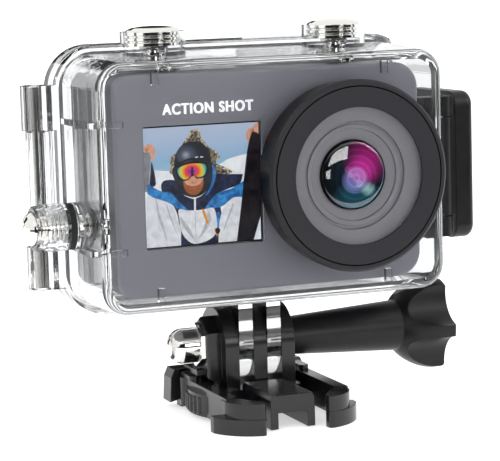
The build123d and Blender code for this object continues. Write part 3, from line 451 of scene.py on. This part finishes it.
def picture_layers():
    """The holiday picture: a skier with raised arms before a rock and snow, back to front."""
    haze = [(0, "#9CC6DA"), (0.25, "#93B9D8"), (0.6, "#A9BFDC"), (1, "#B6C4DA")]
    sky = lit_upward("lcd_sky", screen_low.z + SCREEN_SIZE.z * HORIZON, screen_high.z, haze)
    snow = lit("lcd_snow", "#DDE3EA", "#F4F6F8", 2.0)
    rock = lit("lcd_rock", "#4A3F33", "#CDBFA2", 0.42, spread=0.07)
    rock_dark = lit("lcd_rock_shade", "#1E1A16", "#8C7E66", 0.36, spread=0.08)
    navy = lit("lcd_navy_cloth", "#0F142A", "#262E50", 0.9, spread=0.1)
    hood = lit("lcd_hood_lining", "#1B1D24", "#2B2E38", 0.8)
    blue = lit("lcd_blue_cloth", "#165A9C", "#3A92D6", 0.9, spread=0.12)
    white = lit("lcd_white_cloth", "#CDD0D7", "#F0F1F3", 1.1, spread=0.2)
    white_shade = lit("lcd_white_cloth_fold", "#A9ADB6", "#C2C6CD", 0.8)
    skin = lit("lcd_skin", "#C98F74", "#DDA88C", 0.8)
    skin_shade = lit("lcd_skin_shade", "#A8684E", "#BC7C60", 0.5)
    beard = lit("lcd_beard", "#8A4A26", "#B0693A", 0.22)
    lips = lit("lcd_lips", "#A85C50", "#B5685A", 0.4)
    orange = lit("lcd_orange_trim", "#D98A1E", "#EFA02C", 0.5)
    board = lit("lcd_board", "#77757C", "#918F96", 1.5)
    ski = lit("lcd_ski", "#121015", "#2A2429", 2.0)
    sheen = [(0, "#10131F"), (0.3, "#1E2332"), (0.7, "#4E5468"), (1, "#A4AAB8")]
    helmet = lit_rings("lcd_helmet", on_screen(36, 76), (3.4 * MM, 6 * MM, 3.0 * MM), sheen)
    frame_black = lit("lcd_goggle_frame", "#0E0F14", "#1A1C24", 0.6)
    rainbow = [(0, "#1C6C9C"), (0.15, "#38B4A8"), (0.3, "#D8D848"), (0.45, "#F09A28"),
               (0.6, "#E8402C"), (0.74, "#D02C90"), (0.88, "#6A2C9C"), (1, "#1A1830")]
    mirror = lit_rings("lcd_goggle_mirror", on_screen(40.6, 62), (3.3 * MM, 6 * MM, 2.7 * MM), rainbow)
    zip_white = lit("lcd_zip", "#D8DCE2", "#F2F4F6", 0.4)
    # each entry: what lights it, and its outline in percent across and up
    return [
        (sky, [(0, 0), (0, 0), (100, 0), (100, 0), (100, 100), (100, 100), (0, 100), (0, 100)]),
        (snow, [
            (0, 0), (0, 0), (100, 0), (100, 0), (100, 76), (100, 76), (88, 73.5), (80, 72),
            (72, 70), (64, 66), (44, 63), (25, 63), (8, 65), (0, 66), (0, 66),
        ]),
        (rock, [
            (41, 96), (45, 97), (49, 96.5), (49.5, 91), (53, 86), (57, 81), (63, 77), (65.5, 72),
            (62, 67.5), (69, 64), (76, 59.5), (72, 57.5), (60, 57), (25, 60), (22.5, 65),
            (23.5, 75), (29, 79), (33, 84.5), (37, 90), (39.5, 92),
        ]),
        (rock_dark, [
            (42, 93), (47, 93.5), (47, 89), (51, 85), (53, 81), (47, 84), (41, 86), (38.5, 88),
        ]),
        (rock_dark, [(58, 79), (62, 75.5), (63.5, 72), (59, 68), (58, 73)]),
        (rock_dark, [(61, 65), (68, 62), (72, 59), (64, 58.6), (59, 61)]),
        (board, [
            (0, 80), (0, 80), (6.5, 80.5), (6.5, 80.5), (5, 66), (3, 47), (3, 47), (0, 47), (0, 47),
        ]),
        (navy, [(6.3, 71.6), (8, 66.7), (9.4, 57), (9, 52), (3.4, 50), (3.4, 50), (5, 62)]),
        (skin, [
            (0.2, 84), (3.6, 87), (7.4, 86.2), (10, 82.5), (9.6, 77.5), (7.2, 71.4), (6, 76.5),
            (4, 80.4), (0.2, 80.2),
        ]),
        (skin_shade, [(1.4, 82), (3.6, 84.2), (4.2, 81.4), (2.6, 80.6)]),
        (navy, [
            (14, 49), (14.5, 53.5), (18, 55.8), (27, 54.5), (34, 44), (52, 44), (60, 57.5),
            (73, 57.4), (85.5, 56.6), (85.5, 56.6), (82, 48), (72, 45), (64, 40), (66, 20), (64, 0),
            (64, 0), (26, 0), (26, 0), (28, 20), (24, 34), (16, 44),
        ]),
        (blue, [
            (2.4, 53), (8, 50), (15, 46.5), (22, 45), (29, 37), (36.5, 29.6), (36.5, 29.6),
            (27.5, 31.6), (21, 36), (11, 39.6), (2, 45.4), (2, 45.4),
        ]),
        (blue, [
            (50.5, 29.2), (50.5, 29.2), (57, 37), (64, 42.5), (76, 45.4), (86.4, 51.2),
            (86.4, 51.2), (84, 36.6), (76, 37), (68, 31.4), (60, 29.4),
        ]),
        (blue, [(61, 24), (65.4, 24.6), (64, 12), (61.4, 11)]),
        (white, [
            (1.6, 44.4), (8.4, 41.4), (21, 36), (25, 28), (29.4, 14), (29.4, 0), (29.4, 0), (0, 0),
            (0, 0), (1.6, 44.4),
        ]),
        (white_shade, [(9, 41), (12, 28), (16, 14), (17, 4), (14, 14), (10, 27)]),
        (white_shade, [(18, 36), (22, 24), (26, 10), (22, 20), (18.6, 30)]),
        (white, [
            (76, 37), (84, 37.4), (84, 37.4), (79, 0), (79, 0), (62, 0), (62, 0), (63.6, 18),
            (68.6, 30.6),
        ]),
        (white_shade, [(76, 33), (71, 22), (66, 8), (70, 16), (75, 27)]),
        (white, [
            (28.4, 30.4), (36, 29.2), (42, 28.8), (42, 28.8), (50, 29), (58.6, 29.6), (61.2, 19),
            (60.4, 9), (54, 3), (42, 0.4), (35, 4), (30, 12), (28.6, 22),
        ]),
        (white_shade, [(30, 24), (37, 14), (41, 4), (35, 11), (30.6, 18)]),
        (white_shade, [(54, 27), (50, 15), (45, 5), (52, 12), (56, 20)]),
        (navy, [(30, 9), (36, 3), (42, 0), (42, 0), (29.6, 0), (29.6, 0)]),
        (orange, [(48.4, 28.6), (50.5, 28.2), (53.6, 18), (52, 17.6)]),
        (orange, [(58.6, 12.4), (59.8, 12), (61.6, 6.4), (60.4, 6.2)]),
        (frame_black, ellipse(61.6, 10.2, 2.2, 2.6)),
        (hood, [
            (24.6, 66), (26, 54), (31, 44), (38, 38), (43, 36), (50, 40), (56, 48), (60, 58),
            (59, 68), (42, 74),
        ]),
        (blue, [(59, 67), (61.4, 58), (58, 47), (52, 40.6), (56.6, 49), (58.4, 58)]),
        (zip_white, [
            (33, 42.4), (38, 39.6), (42.4, 38.8), (48, 40.6), (52.6, 44.4), (48.4, 41.4),
            (42.4, 39.8), (38, 40.6),
        ]),
        (skin, ellipse(41.8, 55, 8.6, 13.2)),
        (beard, ellipse(41.8, 52.4, 8.7, 10.6, 180, 360)
         + [(50.4, 55), (47.6, 51), (41.8, 49.4), (36, 51), (33.2, 55)]),
        (skin, ellipse(41.8, 54.6, 2.0, 3.2)),
        (skin_shade, ellipse(41.8, 52.4, 1.9, 0.8, 180, 360) + [(43.6, 52.6), (40, 52.6)]),
        (lips, ellipse(41.8, 47.6, 2.7, 0.75)),
        (helmet, [
            (25.2, 64), (25.2, 64), (26, 73), (29, 80.5), (35, 85.6), (43, 87), (50.5, 84.8),
            (56, 79), (57.4, 72), (57.4, 67.4), (57.4, 67.4), (53.5, 69.6), (45, 70.8), (37, 70.2),
            (29, 67),
        ]),
        (frame_black, [
            (25.6, 67.6), (29, 69.6), (37, 72.6), (45, 73.2), (53.5, 71.8), (57.4, 69),
            (57.2, 67.6), (53.5, 70), (45, 71.4), (37, 70.8), (29, 67.6), (26, 65.6),
        ]),
        (zip_white, [(44, 73.8), (46.4, 74.2), (46.2, 73.4), (44, 73)]),
        (zip_white, [(48.4, 74), (50.8, 73.8), (50.6, 73), (48.4, 73.2)]),
        (frame_black, [
            (27.4, 66), (36, 69.4), (45, 70), (53.8, 68.6), (54.6, 61), (51.6, 56.4), (44.6, 55.6),
            (41.6, 58.6), (37.6, 55), (32, 54.6), (27.6, 59),
        ]),
        (mirror, [
            (28.6, 64.8), (36, 67.8), (44, 68.4), (52.4, 66.8), (52.8, 60.8), (50, 57.4),
            (44.4, 57), (41.4, 60), (37.4, 56), (32.6, 56), (29, 60),
        ]),
        (frame_black, [(40.2, 65), (41.6, 65), (42, 58.4), (40, 58.4)]),
        (zip_white, [
            (41.6, 40), (41.6, 40), (43.4, 40), (43.4, 40), (43, 28.6), (43, 28.6), (41.4, 28.6),
            (41.4, 28.6),
        ]),
        (white_shade, [
            (42, 28), (42, 28), (42.5, 28), (42.5, 28), (42.6, 1), (42.6, 1), (42, 1), (42, 1),
        ]),
        (skin, [
            (89, 91), (91, 94.6), (95, 96), (98, 99.6), (100, 100), (100, 100), (100, 88),
            (100, 88), (94, 88.6), (91, 84), (89.4, 86),
        ]),
        (skin_shade, [(93.6, 93.6), (96, 95), (95.4, 91.4), (93.6, 90.6)]),
        (ski, [
            (93.8, 91), (96.4, 92), (100, 90), (100, 90), (100, 21), (100, 21), (93, 0), (93, 0),
            (78, 0), (78, 0), (82.4, 28), (86, 54), (90, 79),
        ]),
    ]


def front_picture():
    """The LCD: its backing slab and the picture's lit layers."""
    bm = bmesh.new()
    mesh = bpy.data.meshes.new("front_picture")
    mesh.materials.append(GLOSS_BLACK)
    front = screen_low.y + BACKING_DEPTH
    corners = [(screen_low.x, screen_low.z), (screen_high.x, screen_low.z),
               (screen_high.x, screen_high.z), (screen_low.x, screen_high.z)]
    near = [bm.verts.new((x, front, z)) for x, z in corners]
    far = [bm.verts.new((x, screen_high.y, z)) for x, z in corners]
    bm.faces.new(near)
    bm.faces.new(far[::-1])
    for i in range(4):
        bm.faces.new((near[i], far[i], far[i - 3], near[i - 3]))
    for layer, (material, outline) in enumerate(picture_layers()):
        if material.name not in mesh.materials:
            mesh.materials.append(material)
        inside = [(min(100, max(0, p.x)), min(100, max(0, p.y))) for p in rounded(outline)]
        points = [on_screen(across, up, layer) for across, up in inside]
        face = bm.faces.new([bm.verts.new(p) for p in points])
        face.material_index = mesh.materials.find(material.name)
        if face.normal.y > 0:
            face.normal_flip()
    bm.normal_update()
    bmesh.ops.triangulate(bm, faces=[f for f in bm.faces if len(f.verts) > 4])
    bm.to_mesh(mesh)
    bm.free()
    new_piece("front_picture", mesh, "housing", "display", "front_display")


front_picture()


# --- lettering -----------------------------------------------------------------------------

LETTERING_WIDTH = 18.7 * MM
LETTERING_HEIGHT = 2.1 * MM
LETTERING_FROM_SCREEN = Vector((3.9, 0, 2.5)) * MM
INK_FILM = 0.012 * MM
# the print is struck three times side by side for a bold face, mm
STRIKES = [(-0.09, 0, 0), (0.09, -0.002, 0), (0, -0.004, 0.04)]


def lettering():
    """Plain words printed above the screen in bold white ink."""
    data = bpy.data.curves.new("printed_words", "FONT")
    data.body = "ACTION SHOT"
    data.size = 3.0 * MM
    data.offset = 0.05 * MM
    data.space_character = 1.15
    data.extrude = 0.01 * MM
    words = bpy.data.objects.new("printed_words", data)
    scene.collection.objects.link(words)
    bpy.context.view_layer.update()
    mesh = bpy.data.meshes.new_from_object(words)
    bpy.data.objects.remove(words)
    panel_low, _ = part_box("camera_front_panel")
    across = [v.co.x for v in mesh.vertices]
    up = [v.co.y for v in mesh.vertices]
    stretch = Matrix.Diagonal((
        LETTERING_WIDTH / (max(across) - min(across)),
        LETTERING_HEIGHT / (max(up) - min(up)),
        1.0,
        1.0,
    ))
    corner = Vector((screen_low.x, panel_low.y - INK_FILM, screen_high.z))
    place = Matrix.Translation(corner + LETTERING_FROM_SCREEN)
    mesh.transform(place @ Matrix.Rotation(math.radians(90), 4, "X") @ stretch)
    bm = bmesh.new()
    for strike in STRIKES:
        first = len(bm.verts)
        bm.from_mesh(mesh)
        bm.verts.ensure_lookup_table()
        bmesh.ops.translate(bm, verts=bm.verts[first:], vec=Vector(strike) * MM)
    bm.to_mesh(mesh)
    bm.free()
    # pad-printed ink: dense flat white; its faint glow is painted light that keeps the print bright
    # white
    material, tree, shader = new_material(
        "white_pad_print_painted_glow", IOR=1.5, Emission_Color=linear("#FFFFFF"), Emission_Strength=0.55
    )
    mottle(tree, shader, 0.2, "#E9E9E9", "#F6F6F6")
    rough_skin(tree, shader, 0.1, 0.002, 0.0, 0.5, 0.6)
    mesh.materials.append(material)
    new_piece("printed_words", mesh, "housing", "grey_panel")


lettering()


# --- lens ----------------------------------------------------------------------------------

lens_low, lens_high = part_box("front_lens")
LENS_CENTRE = (lens_low + lens_high) / 2
LENS_R = (lens_high.x - lens_low.x) / 2
TURN_STEPS = 96


def turned_mesh(name, profile):
    """Mesh turned about the lens axis from (radius, depth) points in metres."""
    turns = [math.tau * k / TURN_STEPS for k in range(TURN_STEPS)]
    middle = LENS_CENTRE
    bm = bmesh.new()
    rings = []
    for radius, depth in profile:
        if radius == 0:
            rings.append([bm.verts.new((middle.x, depth, middle.z))])
            continue
        places = [(middle.x + radius * math.cos(t), middle.z + radius * math.sin(t)) for t in turns]
        rings.append([bm.verts.new((x, depth, z)) for x, z in places])
    for inner, outer in zip(rings, rings[1:]):
        for k in range(TURN_STEPS):
            following = (k + 1) % TURN_STEPS
            if len(inner) == 1:
                bm.faces.new((inner[0], outer[k], outer[following]))
            elif len(outer) == 1:
                bm.faces.new((inner[k], outer[0], inner[following]))
            else:
                bm.faces.new((inner[k], outer[k], outer[following], inner[following]))
    bmesh.ops.recalc_face_normals(bm, faces=bm.faces)
    mesh = bpy.data.meshes.new(name)
    bm.to_mesh(mesh)
    bm.free()
    for polygon in mesh.polygons:
        polygon.use_smooth = True
    return mesh


# each painted reflection of a coating, drawn as a glow: middle across and up and half width and
# height in lens radii, how far in it reaches full colour, and the colour
LENS_PAINTED_REFLECTIONS = [
    (0.0, 0.0, 0.98, 0.98, 0.5, "#0A1A24"),
    (0.42, 0.4, 0.8, 0.78, 0.7, "#8E1260"),
    (0.24, 0.12, 0.52, 0.5, 0.6, "#A01C70"),
    (0.1, -0.6, 0.8, 0.52, 0.5, "#17424E"),
    (0.02, -0.14, 0.44, 0.42, 0.35, "#6E6AA6"),
    # the pale spot low right is a painted highlight
    (0.42, -0.44, 0.26, 0.22, 1.0, "#9CC4C0"),
    (-0.2, 0.16, 0.12, 0.12, 0.2, "#6A2850"),
    (-0.12, 0.0, 0.08, 0.08, 0.2, "#8A5A9A"),
    (0.14, -0.26, 0.12, 0.12, 0.2, "#6A70A0"),
]
# the glows reach this far through the glass, in lens radii, so that its dome doesn't cut them
GLOW_DEPTH = 3.0
RING_PITCH = 0.62 * MM


def coated_glass():
    """Multi-coated lens group: each coating's reflection is painted as a glow in its own colour, inner
    elements' edges as painted rings.
    """
    material, tree, shader = new_material(
        "multi_coated_glass_painted_reflections",
        Base_Color=linear("#020406"),
        Roughness=0.5,
        Specular_IOR_Level=0.0,
        Coat_Weight=1.0,
        Coat_Roughness=0.0,
        Coat_IOR=2.0,
        Emission_Strength=0.9,
    )
    painted = linear("#010203")
    for across, up, wide, high, edge, colour in LENS_PAINTED_REFLECTIONS:
        middle = LENS_CENTRE + Vector((across, 0, up)) * LENS_R
        radii = Vector((wide, GLOW_DEPTH, high)) * LENS_R
        painted_coating_reflection = glow(tree, middle, radii, [(0, "#000000"), (edge, colour)])
        layers = {0: 1.0, 6: painted, 7: painted_coating_reflection}
        painted = add(tree, "ShaderNodeMix", layers, data_type="RGBA", blend_type="SCREEN").outputs[2]
    # painted reflections of the inner elements' edges, as rings
    place = add(tree, "ShaderNodeTexCoord").outputs["Object"]
    middle = LENS_CENTRE + Vector((0.05, 0, -0.08)) * LENS_R
    shape = {"Vector": place, "Location": middle, "Scale": Vector((1, 1, 1)) * LENS_R}
    local = add(tree, "ShaderNodeMapping", shape, vector_type="TEXTURE").outputs["Vector"]
    wave = {"Vector": local, "Scale": LENS_R / RING_PITCH / math.tau, "Distortion": 0.0}
    rings = add(tree, "ShaderNodeTexWave", wave, wave_type="RINGS", rings_direction="Y")
    ramp = add(tree, "ShaderNodeValToRGB", {"Fac": rings.outputs["Fac"]})
    paint_stops(ramp.color_ramp, [(0.66, "#000000"), (0.9, "#9CC4DC")])
    layers = {0: 1.0, 6: ramp.outputs["Color"], 7: painted}
    tinted = add(tree, "ShaderNodeMix", layers, data_type="RGBA", blend_type="MULTIPLY").outputs[2]
    layers = {0: 1.0, 6: painted, 7: tinted}
    painted = add(tree, "ShaderNodeMix", layers, data_type="RGBA", blend_type="SCREEN").outputs[2]
    # a painted cyan reflection line of the coating just inside the rim
    middle = LENS_CENTRE + Vector((-0.03, 0, 0.03)) * LENS_R
    radii = Vector((1.02, GLOW_DEPTH, 1.02)) * LENS_R
    line = glow(tree, middle, radii, [(0.02, "#061620"), (0.04, "#2E7C94"), (0.07, "#000000")])
    layers = {0: 1.0, 6: painted, 7: line}
    painted = add(tree, "ShaderNodeMix", layers, data_type="RGBA", blend_type="SCREEN").outputs[2]
    tree.links.new(painted, shader.inputs["Emission Color"])
    return material


DOME_RISE = 0.68 * MM
DOME_SHARE = 0.97
RIM_GAP = 0.01 * MM


def lens_elements():
    """The front element: a low dome with a blackened ground rim."""
    front = lens_low.y
    edge = front + DOME_RISE
    dome_r = LENS_R * DOME_SHARE
    bends = [math.radians(a) for a in range(0, 91, 5)]
    dome = [(dome_r * math.sin(a), edge + (front - edge) * math.cos(a)) for a in bends]
    glass = turned_mesh("front_lens_glass", dome + [(dome_r, lens_high.y), (0, lens_high.y)])
    glass.materials.append(coated_glass())
    new_piece("front_lens_glass", glass, "housing", "lens_glass", "front_lens")
    inside = dome_r + RIM_GAP
    rim = [
        (inside, edge - 0.25 * MM),
        (LENS_R, edge - 0.15 * MM),
        (LENS_R, lens_high.y),
        (inside, lens_high.y),
    ]
    ground = turned_mesh("lens_ground_rim", rim + rim[:1])
    ground.materials.append(PORT_BLACK)
    new_piece("lens_ground_rim", ground, "housing", "lens_glass")


lens_elements()


# --- button springs ------------------------------------------------------------------------

SPRING_WIRE = 0.4 * MM
SPRING_TURNS = 3
STEPS_PER_TURN = 32
WIRE_SIDES = 10


def compression_spring(use, axis, fixed):
    """Coil spring under a button's cap."""
    low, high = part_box(f"{use}_button_spring")
    side, other = [k for k in range(3) if k != axis]
    middle = (low + high) / 2
    radius = (high[side] - low[side] - SPRING_WIRE) / 2
    steps = SPRING_TURNS * STEPS_PER_TURN
    along = Vector((0, 0, 0))
    along[axis] = 1
    bm = bmesh.new()
    rings = []
    for k in range(steps + 1):
        turn = math.tau * SPRING_TURNS * k / steps
        outward = Vector((0, 0, 0))
        outward[side] = math.cos(turn)
        outward[other] = math.sin(turn)
        place = middle + outward * radius
        place[axis] = low[axis] + SPRING_WIRE / 2 + (high[axis] - low[axis] - SPRING_WIRE) * k / steps
        wire = [math.tau * j / WIRE_SIDES for j in range(WIRE_SIDES)]
        offsets = [outward * math.cos(t) + along * math.sin(t) for t in wire]
        rings.append([bm.verts.new(place + offset * SPRING_WIRE / 2) for offset in offsets])
    for near, far in zip(rings, rings[1:]):
        for j in range(WIRE_SIDES):
            bm.faces.new((near[j - 1], near[j], far[j], far[j - 1])).smooth = True
    bm.faces.new(rings[0])
    bm.faces.new(rings[-1])
    bmesh.ops.recalc_face_normals(bm, faces=bm.faces)
    mesh = bpy.data.meshes.new(f"{use}_spring_coil")
    bm.to_mesh(mesh)
    bm.free()
    mesh.materials.append(STEEL)
    coil = new_piece(f"{use}_spring_coil", mesh, "housing", "spring_steel", f"{use}_button_spring")
    anchor = middle.copy()
    anchor[axis] = fixed(low[axis], high[axis])
    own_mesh(coil)


compression_spring("power", 2, min)
compression_spring("shutter", 2, min)
compression_spring("side", 0, max)


# --- stage ---------------------------------------------------------------------------------

FLOOR_HALF = 3.0
FLOOR_GAP = 0.05 * MM


def studio_floor():
    """Light table: opal white acrylic, softly lit from below, just under the buckle's feet."""
    mesh = bpy.data.meshes.new("studio_floor")
    corners = [(x * FLOOR_HALF, y * FLOOR_HALF, 0) for x, y in ((-1, -1), (1, -1), (1, 1), (-1, 1))]
    mesh.from_pydata(corners, [], [(0, 1, 2, 3)])
    floor = bpy.data.objects.new("studio_floor", mesh)
    floor.location.z = cad_low.z - FLOOR_GAP
    material, tree, shader = new_material(
        "opal_acrylic",
        Roughness=0.8,
        Specular_IOR_Level=0.0,
        Emission_Color=linear("#FFFFFF"),
        Emission_Strength=0.55,
    )
    mottle(tree, shader, 40, "#EFEFEF", "#F2F2F2")
    mesh.materials.append(material)
    scene.collection.objects.link(floor)


# upright cards: the two ends of each one's foot, across and back, mm
SIDE_CARDS = {
    "left_card": ((-640, -70), (-640, 60)),
    "back_left_card": ((-540, 520), (-330, 640)),
    "back_card": ((-110, 620), (240, 620)),
    "right_card": ((640, -330), (640, -190)),
}
SIDE_CARD_TOP = 360
# the front card's rising section, back and up, and half its width, mm
FRONT_CARD = [(-110, 3), (-420, 3), (-700, 60), (-860, 220), (-900, 420)]
FRONT_CARD_HALF = 900


def card_flock():
    """Black flock seen only in mirror images that no paint has scattered, so it dims nothing else."""
    material, tree, shader = new_material("black_flock_card", Roughness=0.9, Specular_IOR_Level=0.0)
    mottle(tree, shader, 30, "#1E1E1F", "#242425")
    ray = add(tree, "ShaderNodeLightPath").outputs
    mirrored = add(tree, "ShaderNodeMath", {0: ray["Glossy Depth"], 1: 0.5}, operation="GREATER_THAN")
    unscattered = add(tree, "ShaderNodeMath", {0: ray["Diffuse Depth"], 1: 0.5}, operation="LESS_THAN")
    both = {0: mirrored.outputs[0], 1: unscattered.outputs[0]}
    shown = add(tree, "ShaderNodeMath", both, operation="MULTIPLY")
    clear = add(tree, "ShaderNodeBsdfTransparent")
    layers = {0: shown.outputs[0], 1: clear.outputs[0], 2: shader.outputs[0]}
    blend = add(tree, "ShaderNodeMixShader", layers)
    tree.links.new(blend.outputs[0], tree.nodes["Material Output"].inputs["Surface"])
    return material


CARD_FLOCK = card_flock()


def flock_card(name, points_mm):
    """Black flocked card: mirror images of it draw dark lines, and it takes no light from paint."""
    mesh = bpy.data.meshes.new(name)
    faces = [(2 * k, 2 * k + 1, 2 * k + 3, 2 * k + 2) for k in range(len(points_mm) // 2 - 1)]
    mesh.from_pydata([Vector(p) * MM for p in points_mm], [], faces)
    mesh.materials.append(CARD_FLOCK)
    card = bpy.data.objects.new(name, mesh)
    scene.collection.objects.link(card)
    card.visible_camera = False
    card.visible_shadow = False


def black_cards():
    """The front card rises in steps from the table; the side cards stand upright."""
    ends = (-FRONT_CARD_HALF, FRONT_CARD_HALF)
    flock_card("front_card", [(x, y, z) for y, z in FRONT_CARD for x in ends])
    for name, feet in SIDE_CARDS.items():
        flock_card(name, [(*foot, z) for z in (0, SIDE_CARD_TOP) for foot in feet])


LIGHT_AIM = Vector((0, 0, 45)) * MM


def softbox(name, place_mm, radiance, width_mm, height_mm):
    """Area light that faces the camera housing, with the given brightness against white."""
    data = bpy.data.lights.new(name, "AREA")
    data.shape = "RECTANGLE"
    data.size = width_mm * MM
    data.size_y = height_mm * MM
    data.energy = math.pi * radiance * data.size * data.size_y
    light = bpy.data.objects.new(name, data)
    light.location = Vector(place_mm) * MM
    light.visible_camera = False
    aim = LIGHT_AIM - light.location
    light.rotation_mode = "QUATERNION"
    light.rotation_quaternion = aim.to_track_quat("-Z", "Y")
    scene.collection.objects.link(light)


def studio_light():
    """White surroundings and four soft boxes, two of them for the lens."""
    world = bpy.data.worlds.new("studio")
    world.use_nodes = True
    world.node_tree.nodes["Background"].inputs["Color"].default_value = linear("#FFFFFF")
    world.node_tree.nodes["Background"].inputs["Strength"].default_value = 1.0
    scene.world = world
    softbox("key_box", (-380, -380, 430), 2.0, 320, 320)
    softbox("fill_box", (460, -360, 340), 2.8, 300, 340)
    lens_mm = LENS_CENTRE / MM
    softbox("window_box", lens_mm + Vector((127, -620, 92)), 5.0, 200, 160)
    softbox("side_pane_box", lens_mm + Vector((14, -300, -24)), 4.5, 58, 30)


studio_floor()
black_cards()
studio_light()
